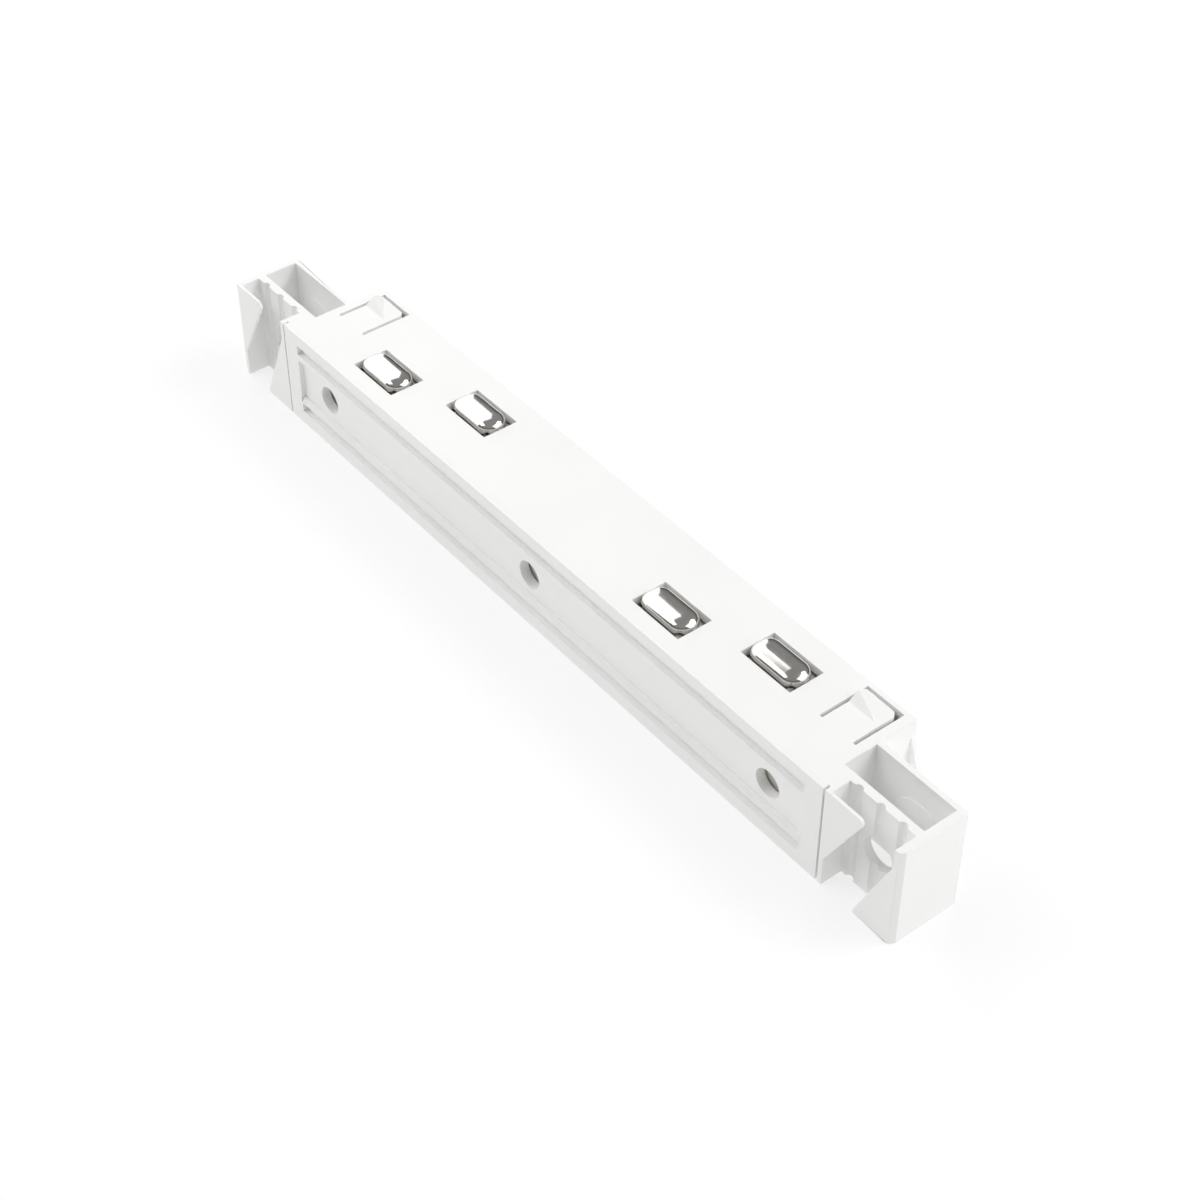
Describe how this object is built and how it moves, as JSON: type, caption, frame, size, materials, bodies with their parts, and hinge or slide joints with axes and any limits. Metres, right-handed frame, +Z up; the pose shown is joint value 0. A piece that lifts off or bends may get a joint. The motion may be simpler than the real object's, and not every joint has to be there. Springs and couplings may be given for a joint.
{
  "type": "straight track connector",
  "caption": "Slim white straight connector for a magnetic lighting track, with sprung contacts and snap tongues in its top and an open fluted bracket at each end.",
  "frame": {"origin": "centre of the underside, midway between the two ends and the two sides", "axes": "+X along the connector, +Y towards the plain rear side, +Z up out of the contact face"},
  "size_m": [0.1728, 0.02, 0.021],
  "materials": {
    "white_plastic": "white moulded polycarbonate with a fine satin grain",
    "carrier_plastic": "off-white glass-filled nylon, satin",
    "cover_plastic": "white moulded polycarbonate, satin",
    "contact_nickel": "bright nickel plate over brass",
    "spring_steel": "drawn spring wire, bright",
    "brass": "rolled brass strip, lightly tarnished",
    "zinc_steel": "zinc-plated steel"
  },
  "bodies": {
    "body": {"housing": "white_plastic", "contact_carrier": "carrier_plastic", "base_cover": "cover_plastic", "busbar_front": "brass", "busbar_rear": "brass", "contact_spring_1": "spring_steel", "cover_screw_1": "zinc_steel", "contact_spring_2": "spring_steel", "cover_screw_2": "zinc_steel", "contact_spring_3": "spring_steel", "cover_screw_3": "zinc_steel", "contact_spring_4": "spring_steel", "cover_screw_4": "zinc_steel", "side_screw_1": "zinc_steel", "side_screw_2": "zinc_steel", "side_screw_3": "zinc_steel"},
    "contact_body_1": {"contact_1": "contact_nickel"},
    "contact_body_2": {"contact_2": "contact_nickel"},
    "contact_body_3": {"contact_3": "contact_nickel"},
    "contact_body_4": {"contact_4": "contact_nickel"}
  },
  "joints": [
    {"name": "contact_slide_1", "type": "slide", "parent": "body", "child": "contact_body_1", "axis": [0, 0, -1], "range_m": [0, 0.0012], "stiffness_N_per_m": 400, "springref_m": -0.002, "deforming": ["contact_spring_1"]},
    {"name": "contact_slide_2", "type": "slide", "parent": "body", "child": "contact_body_2", "axis": [0, 0, -1], "range_m": [0, 0.0012], "stiffness_N_per_m": 400, "springref_m": -0.002, "deforming": ["contact_spring_2"]},
    {"name": "contact_slide_3", "type": "slide", "parent": "body", "child": "contact_body_3", "axis": [0, 0, -1], "range_m": [0, 0.0012], "stiffness_N_per_m": 400, "springref_m": -0.002, "deforming": ["contact_spring_3"]},
    {"name": "contact_slide_4", "type": "slide", "parent": "body", "child": "contact_body_4", "axis": [0, 0, -1], "range_m": [0, 0.0012], "stiffness_N_per_m": 400, "springref_m": -0.002, "deforming": ["contact_spring_4"]}
  ]
}
